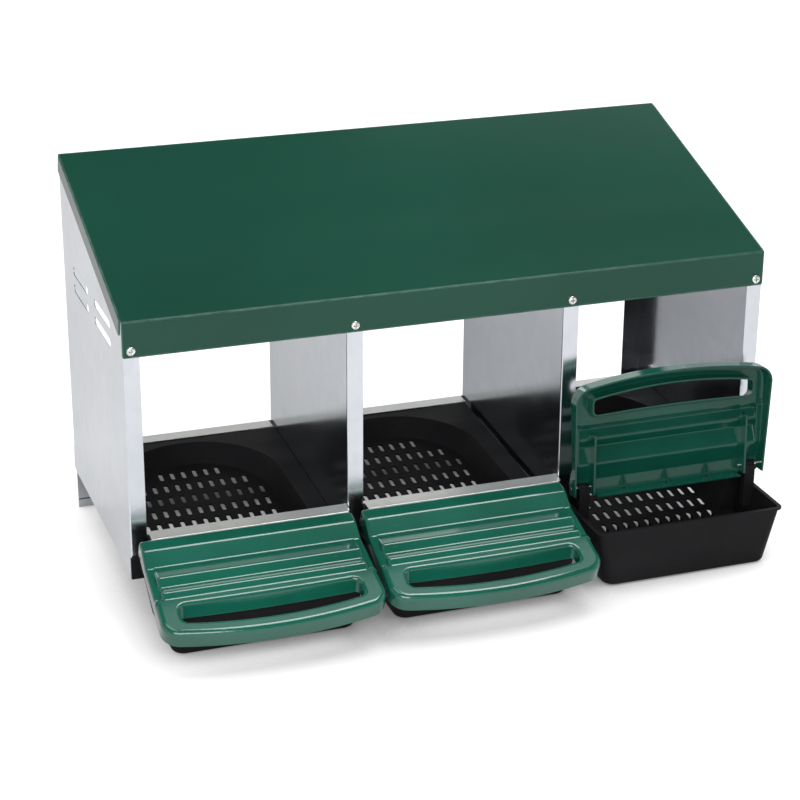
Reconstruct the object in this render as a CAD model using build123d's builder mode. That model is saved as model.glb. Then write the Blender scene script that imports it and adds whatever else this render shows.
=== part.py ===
from build123d import *
import os
from math import asin, atan2, cos, degrees, hypot, radians, sin, sqrt, tan

os.makedirs("parts", exist_ok=True)

# All sizes in millimetres and degrees.
# Depths written as "behind" are measured from the front faces of the case flanges.

# Sheet metal case
case_width = 850.0
case_depth = 349.0
sheet = 1.0
bend = 2.0
panel_clear = 58.0
front_flange = 21.0
rear_flange = 28.0
foot_hem = 12.0
hem_gap = 0.6

# Roof
roof_front_height = 394.0
roof_rear_height = 506.0
fascia_height = 45.6
fascia_corner = 3.0
roof_bend = 1.5
roof_lip = 23.0
roof_lip_gap = 0.2
roof_lip_relief = 6.0
roof_rear_drop = 22.0
roof_gap = 0.8

# Vent slots in the side panels
vent_length = 90.0
vent_height = 11.0
vent_depths = (109.0, 238.0)
vent_heights = (344.0, 367.5)

# Fasteners
screw_diameter = 6.0
screw_length = 10.0
screw_fit = 0.05
head_diameter = 11.7
head_height = 3.6
head_round = 2.4
recess_span = 6.4
recess_width = 1.3
recess_depth = 1.8
nut_flats = 10.0
nut_height = 5.0
fascia_screw_rise = 9.0
roof_rear_screw_drop = 13.0

# Front sills
sill_height = 113.5
sill_front = 14.0
sill_rear = 11.0
sill_front_lip = 8.0
sill_rear_lip = 12.0
sill_side_gap = 3.0
sill_corner = 6.0
sill_tab = 18.0
sill_notch_gap = 0.3

# Rear rail
rail_rise = 2.0
rail_lip_gap = 1.9
rail_tongue = 24.0
rail_foot = 18.0
rail_side_gap = 3.0
rail_screw_rise = 17.0

# Nest trays
tray_gap = 1.5
tray_wall = 2.5
ledge_side_clear = 0.5
ledge_front_height = 73.5
ledge_rise = 18.6
ledge_rear_gap = 1.0
ledge_skirt = 12.0
flange_slip = 0.3
rear_lip_inset = 34.0
rear_lip_gap = 3.0
rear_lip_step = 1.5
rail_slip = 0.3
bowl_side_ledge = 26.0
bowl_rear_ledge = 9.0
bowl_side_draft = 15.0
bowl_rear_draft = 24.0
floor_height = 30.3
floor_slope = 7.4
slot_length = 19.0
slot_width = 6.0
slot_column_pitch = 15.6
slot_columns = 12
slot_row_pitch = 30.2
slot_rows = 13
slot_rear_margin = 24.5
slot_front_margin = 3.0
slot_edge = 4.0

# Egg troughs at the front of the trays
trough_rim_height = 79.2
ear_reach = 12.0
trough_draft = 14.0
trough_front = 113.0
trough_front_draft = 3.0
trough_rim_corner = 7.0
trough_foot_corner = 18.0
trough_bottom_round = 8.0
trough_foot_width = 14.0
trough_lip = 3.0
trough_lip_height = 2.5
ear_overhang = 1.0
ear_bottom = 58.0
ear_top = 86.0
ear_thickness = 4.2

# Hinges
hinge_front = 35.0
hinge_rise = 30.8
pin_diameter = 4.0
pin_inside = 3.0
pin_proud = 0.5
pin_chamfer = 0.4
pin_fit = 0.05
lid_bore_fit = 0.06
post_clear = 2.5
post_radius = 5.0
post_front = 7.0
post_back = 3.0
post_root = 51.0

# Egg lids, measured in the lid's own frame from the hinge axis
lid_gap = 3.5
lid_flare = 4.0
lid_length = 154.0
lid_bow = 15.0
lid_corner = 24.0
lid_wall = 2.3
lid_edge_round = 4.2
lid_rest_lift = 0.85
lid_open_lean = 2.5
hood_back = 12.0
hood_bottom = -12.0
hood_shoulder = 6.5
hood_shoulder_bend = 5.0
hood_crest = 8.0
hood_crest_rise = 2.0
hood_crest_bend = 8.0
hood_valley = 31.0
hood_valley_drop = 3.5
hood_inset = 4.0
hood_end_back = 8.0
stop_gap = 0.4
lid_front_bottom = -20.0
rib_first = 54.0
rib_pitch = 24.0
rib_count = 2
rib_rise = 4.6
rib_drop = 2.6
rib_bend = 5.0
rib_end_inset = 7.0
rib_end_round = 4.0
border_step = 4.0
platform_start = 86.0
platform_height = 3.0
platform_join = 2.0
platform_round = 7.0
lug_inset = 29.5
lug_thickness = 3.0
lug_end = 74.0
gusset_pitch = 60.0
gusset_thickness = 2.0
grip_rear = 96.0
grip_front = 134.0
grip_edge_round = 5.0
grip_end_width = 23.5
grip_corner = 10.0
grip_corner_draft = 4.0
grip_bow = 1.0
grip_collar_bottom = -15.0
grip_collar_slant = 7.5
grip_collar_bow = 3.0

# Derived sizes
half_width = case_width / 2
inner_face = half_width - sheet
ear_half_width = (half_width + ear_overhang - tray_gap) / 3
tray_pitch = 2 * ear_half_width + tray_gap
ledge_half_width = inner_face - ledge_side_clear - tray_pitch
divider_offset = tray_pitch - ledge_half_width - ledge_side_clear - sheet / 2
ledge_rear = case_depth + sheet - rail_tongue - ledge_rear_gap
rear_lip_half_width = ledge_half_width - rear_lip_inset
rear_lip_end = case_depth - rear_lip_gap
rail_bottom = panel_clear + rail_rise
rail_top = ledge_front_height + ledge_rise - rear_lip_step + rail_lip_gap + sheet
rail_screw_height = rail_bottom + rail_screw_rise
bowl_rim_half_width = ledge_half_width - bowl_side_ledge
bowl_floor_half_width = bowl_rim_half_width - bowl_side_draft
bowl_rim_rear = ledge_rear - bowl_rear_ledge
bowl_floor_rear = bowl_rim_rear - bowl_rear_draft
bowl_rim_depth = bowl_rim_rear - bowl_rim_half_width
bowl_floor_depth = bowl_floor_rear - bowl_floor_half_width
slot_last_row = bowl_floor_rear - slot_rear_margin
trough_rim_half_width = ear_half_width - ear_reach
hinge_height = trough_rim_height + hinge_rise
lid_half_width = (tray_pitch - lid_gap) / 2 - lid_flare
lug_inner = lid_half_width - lug_inset
hood_half_width = lug_inner - hood_inset
post_inner = lug_inner + lug_thickness + post_clear
pin_inner = lug_inner - pin_inside
pin_outer = lid_half_width + pin_proud
grip_half_length = lid_half_width - grip_end_width
rib_half_length = lid_half_width - rib_end_inset
lid_rest_ahead = trough_front + trough_lip - hinge_front
lid_rest_height = platform_height - rib_drop - lid_wall + lid_rest_lift
lid_closed_slope = degrees(
    atan2(hinge_rise, lid_rest_ahead) + asin(lid_rest_height / hypot(hinge_rise, lid_rest_ahead))
)
rear_reach = case_depth + sheet + head_height
front_reach = hinge_front + lid_length * cos(radians(lid_closed_slope))
case_front = (front_reach - rear_reach) / 2
case_rear = case_front + case_depth
roof_rise = roof_rear_height - roof_front_height
roof_slope = degrees(atan2(roof_rise, case_depth + 2 * sheet))
roof_run = sqrt(roof_rise**2 + (case_depth + 2 * sheet) ** 2)
fascia_bottom = roof_front_height - fascia_height
fascia_screw_height = fascia_bottom + fascia_screw_rise
roof_rear_screw_height = roof_rear_height - roof_rear_screw_drop
screw_hole = screw_diameter / 2 + screw_fit
hinge_y = case_front - hinge_front
left_divider_face = -divider_offset - sheet / 2
right_divider_face = divider_offset - sheet / 2
tray_centres = (-tray_pitch, 0.0, tray_pitch)
front_flange_centres = (
    -half_width + front_flange / 2,
    left_divider_face + front_flange / 2,
    right_divider_face + front_flange / 2,
    half_width - front_flange / 2,
)
rear_flange_centres = (
    -half_width + rear_flange / 2,
    left_divider_face + rear_flange / 2,
    right_divider_face + rear_flange / 2,
    half_width - rear_flange / 2,
)


def strip(plane, points, radius, side=Side.RIGHT):
    """Section of a bent sheet whose outer face follows the points."""
    with BuildSketch(plane) as section:
        with BuildLine():
            FilletPolyline(*points, radius=radius)
            offset(amount=sheet, side=side)
        make_face()
    return section.sketch


def roof_cutter():
    """Everything above the underside of the roof, less the gap under it."""
    drop = sheet / cos(radians(roof_slope)) + roof_gap
    low = roof_front_height - drop
    high = roof_rear_height - drop
    front = case_front - sheet
    rear = case_rear + sheet
    with BuildPart() as cutter:
        with BuildSketch(Plane.YZ):
            with BuildLine():
                Polyline(
                    (front, low),
                    (rear, high),
                    (rear, roof_rear_height * 2),
                    (front, roof_rear_height * 2),
                    close=True,
                )
            make_face()
        extrude(amount=case_width, both=True)
    return cutter.part


def flange_holes(side_x, heights, depth):
    """Round holes through a flange, along the depth of the case."""
    with BuildPart() as holes:
        with BuildSketch(Plane.XZ.offset(-depth)):
            with Locations(*[(side_x, height) for height in heights]):
                Circle(screw_hole)
        extrude(amount=3 * sheet, both=True)
    return holes.part


def upright_wall(face, turn, clear):
    """A folded upright: front flange, wall and rear flange bent to one side.

    face is the outside of the wall, turn is 1 where the flanges bend to the right.
    """
    points = (
        (face + turn * front_flange, case_front),
        (face, case_front),
        (face, case_rear),
        (face + turn * rear_flange, case_rear),
    )
    side = Side.RIGHT if turn > 0 else Side.LEFT
    front_x = face + turn * front_flange / 2
    rear_x = face + turn * rear_flange / 2
    with BuildPart() as wall:
        extrude(strip(Plane.XY.offset(clear), points, bend, side), amount=roof_rear_height - clear)
        add(roof_cutter(), mode=Mode.SUBTRACT)
        add(flange_holes(front_x, [fascia_screw_height], case_front), mode=Mode.SUBTRACT)
        add(
            flange_holes(rear_x, [roof_rear_screw_height, rail_screw_height], case_rear),
            mode=Mode.SUBTRACT,
        )
    return wall.part


def side_panel(face, turn):
    """A side wall with vent slots and a leg under its rear flange."""
    hem = 2 * sheet + hem_gap
    leg_points = (
        (case_rear, panel_clear + bend),
        (case_rear, 0),
        (case_rear - hem, 0),
        (case_rear - hem, foot_hem),
    )
    with BuildPart() as panel:
        add(upright_wall(face, turn, panel_clear))
        leg_start = face + turn * bend
        extrude(
            strip(Plane.YZ.offset(leg_start), leg_points, 0.48 * hem),
            amount=turn * (rear_flange - bend),
        )
        with BuildSketch(Plane.YZ.offset(face)):
            with Locations(*[(case_front + depth, height) for depth in vent_depths for height in vent_heights]):
                SlotOverall(vent_length, vent_height)
        extrude(amount=2 * sheet, both=True, mode=Mode.SUBTRACT)
    return panel.part


with BuildPart() as roof:
    roof_points = (
        (case_front - sheet, fascia_bottom),
        (case_front - sheet, roof_front_height),
        (case_rear + sheet, roof_rear_height),
        (case_rear + sheet, roof_rear_height - roof_rear_drop),
    )
    extrude(strip(Plane.YZ.offset(-half_width), roof_points, roof_bend), amount=case_width)
    fillet(
        roof.edges().filter_by(Axis.Y).group_by(Axis.Z)[0].sort_by(Axis.X)[0::1],
        radius=fascia_corner,
    )
    slope_plane = Plane(
        origin=(0, case_front - sheet, roof_front_height),
        x_dir=(1, 0, 0),
        z_dir=(0, -cos(radians(roof_slope)), -sin(radians(roof_slope))),
    )
    lip_half = half_width + roof_lip_gap + sheet
    lip_points = ((half_width - bend, 0), (lip_half, 0), (lip_half, roof_lip))
    lip_start = slope_plane.offset(-roof_lip_relief)
    for way in (1, -1):
        edge = [(way * x, -drop) for x, drop in lip_points]
        side = Side.RIGHT if way > 0 else Side.LEFT
        extrude(strip(lip_start, edge, roof_bend, side), amount=2 * roof_lip_relief - roof_run)
    for spot in front_flange_centres:
        add(flange_holes(spot, [fascia_screw_height], case_front), mode=Mode.SUBTRACT)
    for spot in rear_flange_centres:
        add(flange_holes(spot, [roof_rear_screw_height], case_rear), mode=Mode.SUBTRACT)

with BuildPart() as left_side_panel:
    add(side_panel(-half_width, 1))

with BuildPart() as right_side_panel:
    add(side_panel(half_width, -1))

with BuildPart() as left_divider:
    add(upright_wall(left_divider_face, 1, panel_clear))

with BuildPart() as right_divider:
    add(upright_wall(right_divider_face, 1, panel_clear))

def front_sill(left, right, left_flange, right_flange):
    """A folded strip across one bay, cut round the front flanges beside it.

    left_flange and right_flange are the edges of those flanges, or the wall face without one.
    """
    notch = case_front + bend + sill_notch_gap
    front = case_front - sill_front
    rear = case_front + sill_rear
    start = left_flange + sill_side_gap
    stop = right_flange - sill_side_gap if right_flange < right else right
    outline = [(left, notch), (start, notch), (start, front), (stop, front)]
    if stop < right:
        outline += [(stop, notch), (right, notch)]
    outline += [(right, rear), (left, rear)]
    section = (
        (front, sill_height - sill_front_lip),
        (front, sill_height),
        (rear, sill_height),
        (rear, sill_height - sill_rear_lip),
    )
    with BuildPart() as sill:
        extrude(strip(Plane.YZ.offset(left), section, bend), amount=right - left)
        with BuildSketch(Plane.XY.offset(sill_height)) as plan:
            with BuildLine():
                Polyline(*outline, close=True)
            make_face()
            fillet(plan.vertices().group_by(Axis.Y)[0].sort_by(Axis.X)[-1], radius=sill_corner)
        extrude(amount=-sill_tab, mode=Mode.INTERSECT)
        with BuildSketch(Plane.XY.offset(sill_height)):
            for end in (left + sheet / 2, right - sheet / 2):
                with Locations((end, (notch + rear) / 2)):
                    Rectangle(sheet, rear - notch)
        extrude(amount=-sill_tab)
    return sill.part


with BuildPart() as left_front_sill:
    add(front_sill(-inner_face, left_divider_face, -half_width + front_flange, left_divider_face))

with BuildPart() as middle_front_sill:
    add(
        front_sill(
            left_divider_face + sheet,
            right_divider_face,
            left_divider_face + front_flange,
            right_divider_face,
        )
    )

with BuildPart() as right_front_sill:
    add(
        front_sill(
            right_divider_face + sheet,
            inner_face,
            right_divider_face + front_flange,
            half_width - front_flange,
        )
    )

with BuildPart() as rear_rail:
    rail_face = case_rear + sheet
    rail_points = (
        (rail_face - rail_tongue, rail_top),
        (rail_face, rail_top),
        (rail_face, rail_bottom),
        (rail_face - rail_foot, rail_bottom),
    )
    extrude(strip(Plane.YZ.offset(-half_width), rail_points, bend), amount=case_width)
    with BuildSketch(Plane.XY):
        for spot in rear_flange_centres:
            with Locations((spot, case_rear - rail_tongue)):
                Rectangle(rear_flange + 2 * rail_side_gap, 2 * rail_tongue)
    extrude(amount=rail_top, mode=Mode.SUBTRACT)
    for spot in rear_flange_centres:
        add(flange_holes(spot, [rail_screw_height], case_rear), mode=Mode.SUBTRACT)

# One tray, drawn on the centre line of the case
ledge_front = sheet + flange_slip
ledge_angle = degrees(atan2(ledge_rise, ledge_rear - ledge_front))
ledge_length = (ledge_rear - ledge_front) / cos(radians(ledge_angle))
ledge_plane = Plane(
    origin=(0, case_front + ledge_front, ledge_front_height),
    x_dir=(1, 0, 0),
    z_dir=(0, -sin(radians(ledge_angle)), cos(radians(ledge_angle))),
)
floor_plane = Plane(
    origin=(0, case_front, floor_height),
    x_dir=(1, 0, 0),
    z_dir=(0, -sin(radians(floor_slope)), cos(radians(floor_slope))),
)
trough_rear = case_front - flange_slip
trough_void_rear = trough_rear - tray_wall
passage_front = trough_void_rear - tray_wall


def floor_level(depth):
    """Height of the tray floor at a depth behind the case front."""
    return floor_height + depth * tan(radians(floor_slope))


def trough_half_width(height):
    """Outer half width of the trough at a height."""
    return trough_rim_half_width - trough_draft * (1 - height / trough_rim_height)


def trough_front_edge(height):
    """How far the outer front wall of the trough stands before the case at a height."""
    return trough_front - trough_front_draft * (1 - height / trough_rim_height)


def bowl_outline(plane, half, depth, front, slope, start):
    """U-shaped outline of the nest bowl on a sloping plane."""
    stretch = 1 / cos(radians(slope))
    near = (front - start) * stretch
    far = (depth - start) * stretch
    with BuildSketch(plane) as outline:
        with BuildLine():
            Line((half, near), (half, far))
            ThreePointArc((half, far), (0, far + half), (-half, far))
            Polyline((-half, far), (-half, near), (half, near))
        make_face()
    return outline.sketch


def bowl_body(grow, lift, front):
    """Solid between the bowl floor and the bowl rim, grown by a wall and lifted past the rim."""
    floor = bowl_outline(
        floor_plane.offset(-grow), bowl_floor_half_width + grow, bowl_floor_depth, front, floor_slope, 0
    )
    rim = bowl_outline(
        ledge_plane.offset(lift), bowl_rim_half_width + grow, bowl_rim_depth, front, ledge_angle, ledge_front
    )
    with BuildPart() as body:
        loft([floor, rim], ruled=True)
    return body.part


def trough_outline(plane, front_half, rear_half, front, rear, corner):
    """Plan of the trough with two rounded front corners."""
    with BuildSketch(plane) as outline:
        with BuildLine():
            Polyline((-front_half, -front), (front_half, -front), (rear_half, -rear), (-rear_half, -rear), close=True)
        make_face()
        corners = outline.vertices().group_by(Axis.Y)[0]
        fillet(corners, radius=corner)
    return outline.sketch


def trough_void():
    """Hollow of the trough above the sloping floor, kept clear of the hinge posts."""
    depth_front = trough_front_edge(0) - tray_wall
    low_front = trough_half_width(floor_level(-depth_front)) - tray_wall
    low_rear = trough_half_width(floor_level(0)) - tray_wall
    top = trough_rim_height + tray_wall
    high = trough_half_width(top) - tray_wall
    stretch = 1 / cos(radians(floor_slope))
    back = (case_front - trough_void_rear) * stretch
    floor = trough_outline(
        floor_plane, low_front, low_rear, depth_front * stretch, back, trough_foot_corner - tray_wall
    )
    rim = trough_outline(
        Plane.XY.offset(top),
        high,
        high,
        trough_front_edge(top) - tray_wall - case_front,
        -trough_void_rear,
        trough_rim_corner - tray_wall,
    )
    with BuildPart() as void:
        loft([floor, rim], ruled=True)
        with BuildSketch(Plane.XY.offset(post_root)):
            stem = post_front + post_back
            for way in (1, -1):
                with Locations((way * ear_half_width, hinge_y + (post_back - post_front) / 2)):
                    Rectangle(2 * (ear_half_width - post_inner), stem)
        extrude(amount=trough_rim_height, mode=Mode.SUBTRACT)
    return void.part


def slot_spots():
    """Centres of the floor slots, on the sloping floor, inside the rear arc of the bowl."""
    stretch = 1 / cos(radians(floor_slope))
    front_limit = tray_wall + slot_front_margin - trough_front_edge(0)
    depths = [slot_last_row - row * slot_row_pitch for row in range(slot_rows)]
    spots = []
    for depth in [depth for depth in depths if depth - slot_length / 2 >= front_limit]:
        reach = max(depth + slot_length / 2 - bowl_floor_depth, 0)
        limit = sqrt(max((bowl_floor_half_width - slot_edge) ** 2 - reach**2, 0))
        for column in range(slot_columns):
            across = (column - (slot_columns - 1) / 2) * slot_column_pitch
            if abs(across) + slot_width / 2 <= limit:
                spots.append((across, depth * stretch))
    return spots


with BuildPart() as tray:
    with BuildSketch(ledge_plane):
        with Locations((0, ledge_length / 2)):
            Rectangle(2 * ledge_half_width, ledge_length)
    extrude(amount=-ledge_skirt)
    with BuildSketch(ledge_plane.offset(-tray_wall)):
        with Locations((0, ledge_length / 2)):
            Rectangle(2 * (ledge_half_width - tray_wall), ledge_length - 2 * tray_wall)
    extrude(amount=-ledge_skirt, mode=Mode.SUBTRACT)
    lip_top = ledge_front_height + ledge_rise - rear_lip_step
    lip_foot = rail_bottom + sheet + rail_slip
    with BuildSketch(Plane.YZ.offset(-rear_lip_half_width)):
        with BuildLine():
            Polyline(
                (case_front + ledge_rear - tray_wall, lip_top),
                (case_front + rear_lip_end, lip_top),
                (case_front + rear_lip_end, lip_foot),
                (case_front + rear_lip_end - tray_wall, lip_foot),
                (case_front + rear_lip_end - tray_wall, lip_top - tray_wall),
                (case_front + ledge_rear - tray_wall, lip_top - tray_wall),
                close=True,
            )
        make_face()
    extrude(amount=2 * rear_lip_half_width)
    add(bowl_body(tray_wall, 0, trough_void_rear - case_front + tray_wall / 2))
    foot = trough_outline(
        Plane.XY,
        trough_half_width(0),
        trough_half_width(0),
        trough_front_edge(0) - case_front,
        -trough_rear,
        trough_foot_corner,
    )
    rim = trough_outline(
        Plane.XY.offset(trough_rim_height),
        trough_rim_half_width,
        trough_rim_half_width,
        trough_front - case_front,
        -trough_rear,
        trough_rim_corner,
    )
    loft([foot, rim], ruled=True)
    fillet(
        tray.edges().group_by(Axis.Z)[0].filter_by_position(Axis.Y, -1000, trough_rear - 1),
        radius=trough_bottom_round,
    )
    trough_edge = trough_outline(
        Plane.XY.offset(trough_rim_height - trough_lip_height),
        trough_rim_half_width + trough_lip,
        trough_rim_half_width + trough_lip,
        trough_front + trough_lip - case_front,
        -trough_rear,
        trough_rim_corner + trough_lip,
    )
    extrude(trough_edge, amount=trough_lip_height)
    with BuildSketch(Plane.XY.offset(ear_bottom)):
        for way in (1, -1):
            with Locations((way * (ear_half_width + bowl_rim_half_width) / 2, trough_rear - ear_thickness / 2)):
                Rectangle(ear_half_width - bowl_rim_half_width, ear_thickness)
    extrude(amount=ear_top - ear_bottom)
    add(bowl_body(0, tray_wall, passage_front - case_front), mode=Mode.SUBTRACT)
    with BuildSketch(Plane.XY.offset(ledge_front_height - tray_wall)):
        with Locations((0, (passage_front + case_front + ledge_front) / 2)):
            Rectangle(2 * bowl_rim_half_width, case_front + ledge_front - passage_front)
    extrude(amount=ear_top, mode=Mode.SUBTRACT)
    add(trough_void(), mode=Mode.SUBTRACT)
    pocket_front = trough_front_edge(0) - trough_foot_width
    with BuildSketch(Plane.YZ.offset(trough_foot_width - trough_half_width(0))):
        with BuildLine():
            Polyline(
                (case_front - pocket_front, -tray_wall),
                (trough_void_rear, -tray_wall),
                (trough_void_rear, floor_level(trough_void_rear - case_front) - tray_wall),
                (case_front - pocket_front, floor_level(-pocket_front) - tray_wall),
                close=True,
            )
        make_face()
    extrude(amount=2 * (trough_half_width(0) - trough_foot_width), mode=Mode.SUBTRACT)
    with BuildSketch(floor_plane.offset(tray_wall)):
        with Locations(*slot_spots()):
            SlotOverall(slot_length, slot_width, rotation=90)
    extrude(amount=-2 * floor_height, mode=Mode.SUBTRACT)
    for way in (1, -1):
        with BuildSketch(Plane.YZ.offset(way * post_inner)):
            with Locations((hinge_y, hinge_height)):
                Circle(post_radius)
            with BuildLine():
                Polyline(
                    (hinge_y - post_front, trough_rim_height - trough_lip_height),
                    (hinge_y + post_back, trough_rim_height - trough_lip_height),
                    (hinge_y + post_back, hinge_height),
                    (hinge_y - post_front, hinge_height),
                    close=True,
                )
            make_face()
        extrude(amount=way * (trough_rim_half_width - tray_wall - post_inner))
    with BuildSketch(Plane.YZ.offset(-lid_half_width)):
        with Locations((hinge_y, hinge_height)):
            Circle(pin_diameter / 2 + pin_fit)
    extrude(amount=2 * lid_half_width, mode=Mode.SUBTRACT)

# One lid, drawn flat with the hinge axis at the origin and its front towards -Y
lid_far = lid_length + lid_bow


def lid_path(foot, ribbed):
    """Corners and bends of the lid's outer section, from the rear edge to past the front."""
    rib_top = platform_height + rib_rise
    rib_low = platform_height - rib_drop
    corners = [
        (-hood_back, foot, 0),
        (-hood_back, hood_shoulder, hood_shoulder_bend),
        (hood_crest, hood_shoulder + hood_crest_rise, hood_crest_bend),
        (hood_valley, platform_height - hood_valley_drop, rib_bend),
    ]
    if ribbed:
        for rib in range(rib_count):
            if rib > 0:
                corners.append((rib_first + (rib - 0.5) * rib_pitch, rib_low, rib_bend))
            corners.append((rib_first + rib * rib_pitch, rib_top, rib_bend))
    else:
        corners.append((platform_start - border_step, rib_low, rib_bend))
    corners.append((platform_start, platform_height, rib_bend))
    corners.append((lid_far, platform_height, 0))
    points = [(-forward, up) for forward, up, _ in corners]
    return points, [turn for _, _, turn in corners[1:-1]]


def lid_under(plane, depth, rear_bottom, front_bottom, ribbed):
    """Section of the space under a lid, down to a line, a depth below its outer face."""
    points, bends = lid_path(rear_bottom, ribbed)
    with BuildSketch(plane) as under:
        with BuildLine():
            path = FilletPolyline(*points, radius=bends)
            Polyline(path @ 1, (-lid_far, front_bottom), path @ 0)
        make_face()
        if depth > 0:
            with BuildSketch(plane, mode=Mode.SUBTRACT):
                with BuildLine():
                    FilletPolyline(*points, radius=bends)
                    offset(amount=depth, side=Side.LEFT)
                make_face()
    return under.sketch


def lid_plan(plane, inset):
    """Plan of a lid: straight sides, a bowed front and rounded corners."""
    half = lid_half_width - inset
    front = lid_length - inset
    shoulder = front - lid_bow
    wide = half + lid_flare
    narrow = half - lid_flare
    with BuildSketch(plane) as plan:
        with BuildLine():
            ThreePointArc((-wide, -shoulder), (0, -front), (wide, -shoulder))
            Polyline((wide, -shoulder), (narrow, shoulder), (-narrow, shoulder), (-wide, -shoulder))
        make_face()
        fillet(plan.vertices().group_by(Axis.Y)[0], radius=lid_corner - inset)
    return plan.sketch


def grip_outline(height, grow):
    """Plan of the grip slot at a height: a bowed front edge, and a rear edge that slants forward below."""
    down = (platform_height - height) / (platform_height - grip_collar_bottom)
    half = grip_half_length + grow
    side = grip_front - lid_bow * (grip_half_length / lid_half_width) ** 2 + grow
    rear = grip_rear + grip_collar_slant * down - grow
    rear_bow = grip_bow + (grip_collar_bow - grip_bow) * down
    with BuildSketch(Plane.XY.offset(height)) as outline:
        with BuildLine():
            ThreePointArc((-half, -side), (0, -grip_front - grow), (half, -side))
            Line((half, -side), (half, -rear))
            ThreePointArc((half, -rear), (0, -rear - rear_bow), (-half, -rear))
            Line((-half, -rear), (-half, -side))
        make_face()
        fillet(outline.vertices(), radius=grip_corner + grow - grip_corner_draft * down)
    return outline.sketch


low_plane = Plane.XY.offset(-lid_length)
lid_tail = lid_front_bottom + (lid_front_bottom - hood_bottom) * lid_bow / lid_length
lid_deep = 2 * lid_front_bottom
platform_rear = platform_start + platform_join


def lid_zone(section, half, start, stop):
    """A lid's section drawn out to both sides, between two distances from the hinge."""
    with BuildPart() as zone:
        extrude(section, amount=2 * half)
        with BuildSketch(low_plane):
            with Locations((0, -(start + stop) / 2)):
                Rectangle(2 * half, stop - start)
        extrude(amount=2 * lid_length, mode=Mode.INTERSECT)
    return zone.part


def lid_shape(inset, rear_bottom, front_bottom):
    """Outside of a lid, or the hollow in it when inset by the wall."""
    reach = lid_half_width + lid_flare
    section = lid_under(Plane.YZ.offset(-reach), inset, rear_bottom, front_bottom, False)
    top = hood_shoulder + hood_crest_rise
    with BuildPart() as rear:
        add(lid_zone(section, reach, -hood_back, platform_rear + platform_join))
        extrude(lid_plan(low_plane, inset), amount=2 * lid_length, mode=Mode.INTERSECT)
        edges = rear.edges().filter_by_position(Axis.Z, -lid_edge_round, top)
        sides = edges.filter_by(lambda edge: abs(edge.center().X) > lid_half_width - inset - 1)
        fillet(sides, radius=lid_edge_round - inset)
    with BuildPart() as platform:
        add(lid_zone(section, reach, platform_rear, lid_far))
        extrude(lid_plan(low_plane, inset), amount=2 * lid_length, mode=Mode.INTERSECT)
        rim = platform.faces().sort_by(Axis.Z)[-1].edges()
        fillet(rim.filter_by(lambda edge: edge.center().Y < -platform_rear - 1), radius=platform_round - inset)
    ribs_half = rib_half_length - inset
    ribs_section = lid_under(Plane.YZ.offset(-ribs_half), inset, lid_deep, lid_deep, True)
    with BuildPart() as ribs:
        add(lid_zone(ribs_section, ribs_half, hood_valley - lid_edge_round, platform_rear))
        edges = ribs.edges().filter_by_position(Axis.Z, lid_front_bottom, top)
        ends = edges.filter_by(lambda edge: abs(edge.center().X) > ribs_half - 0.1)
        fillet(ends.filter_by(Axis.Z, reverse=True), radius=rib_end_round - inset)
    with BuildPart() as shape:
        add(rear.part)
        add(platform.part)
        add(ribs.part)
    return shape.part


with BuildPart() as lid:
    add(lid_shape(0, hood_bottom, lid_tail))
    add(lid_shape(lid_wall, lid_deep, lid_deep), mode=Mode.SUBTRACT)
    for way in (1, -1):
        with BuildSketch(Plane.YZ.offset(way * lug_inner)):
            add(lid_under(Plane.XY, lid_wall / 2, hood_bottom, hood_bottom, True))
            with Locations(((hood_back - lug_end) / 2, 0)):
                Rectangle(hood_back + lug_end, lid_length, mode=Mode.INTERSECT)
        extrude(amount=way * lug_thickness)
    for way in (1, 0, -1):
        with BuildSketch(Plane.YZ.offset(way * gusset_pitch - gusset_thickness / 2)):
            add(lid_under(Plane.XY, lid_wall / 2, hood_bottom, hood_bottom, True))
            with BuildLine():
                Polyline(
                    (hood_back, hood_bottom),
                    (hood_back, lid_length),
                    (-hood_crest, lid_length),
                    (-hood_crest, hood_shoulder - lid_wall),
                    close=True,
                )
            make_face(mode=Mode.INTERSECT)
        extrude(amount=gusset_thickness)
    collar_top = platform_height - lid_wall / 2
    loft([grip_outline(grip_collar_bottom, lid_wall), grip_outline(collar_top, lid_wall)], ruled=True)
    loft(
        [grip_outline(grip_collar_bottom - lid_wall, 0), grip_outline(platform_height + lid_wall, 0)],
        ruled=True,
        mode=Mode.SUBTRACT,
    )
    top_edges = lid.edges().filter_by_position(Axis.Z, platform_height - 0.01, platform_height + 0.01)
    slot_edges = top_edges.filter_by(
        lambda edge: abs(edge.center().X) < grip_half_length + 1 and -grip_front - 1 < edge.center().Y < 1 - grip_rear
    )
    fillet(slot_edges, radius=grip_edge_round)
    end_cut = post_back + hood_back * sin(radians(lid_open_lean)) + stop_gap
    with BuildSketch(Plane.XY.offset(end_cut)):
        for way in (1, -1):
            with Locations((way * lid_half_width, 2 * hood_end_back)):
                Rectangle(2 * (lid_half_width - hood_half_width), 2 * hood_end_back)
    extrude(amount=2 * hood_bottom, mode=Mode.SUBTRACT)
    for way in (1, -1):
        with BuildSketch(Plane.YZ.offset(way * hood_half_width)):
            Circle(pin_diameter / 2 + lid_bore_fit)
        extrude(amount=way * lid_half_width, mode=Mode.SUBTRACT)

with BuildPart() as pins:
    for way in (1, -1):
        with BuildSketch(Plane.YZ.offset(way * pin_inner)):
            with Locations((hinge_y, hinge_height)):
                Circle(pin_diameter / 2)
        extrude(amount=way * (pin_outer - pin_inner))
    chamfer(pins.edges(), length=pin_chamfer)


def tray_at(centre):
    """A nest tray in one bay."""
    with BuildPart() as placed:
        with Locations((centre, 0, 0)):
            add(tray.part)
    return placed


def pins_at(centre):
    """The pair of hinge pins of one lid."""
    with BuildPart() as placed:
        with Locations((centre, 0, 0)):
            add(pins.part)
    return placed


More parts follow.
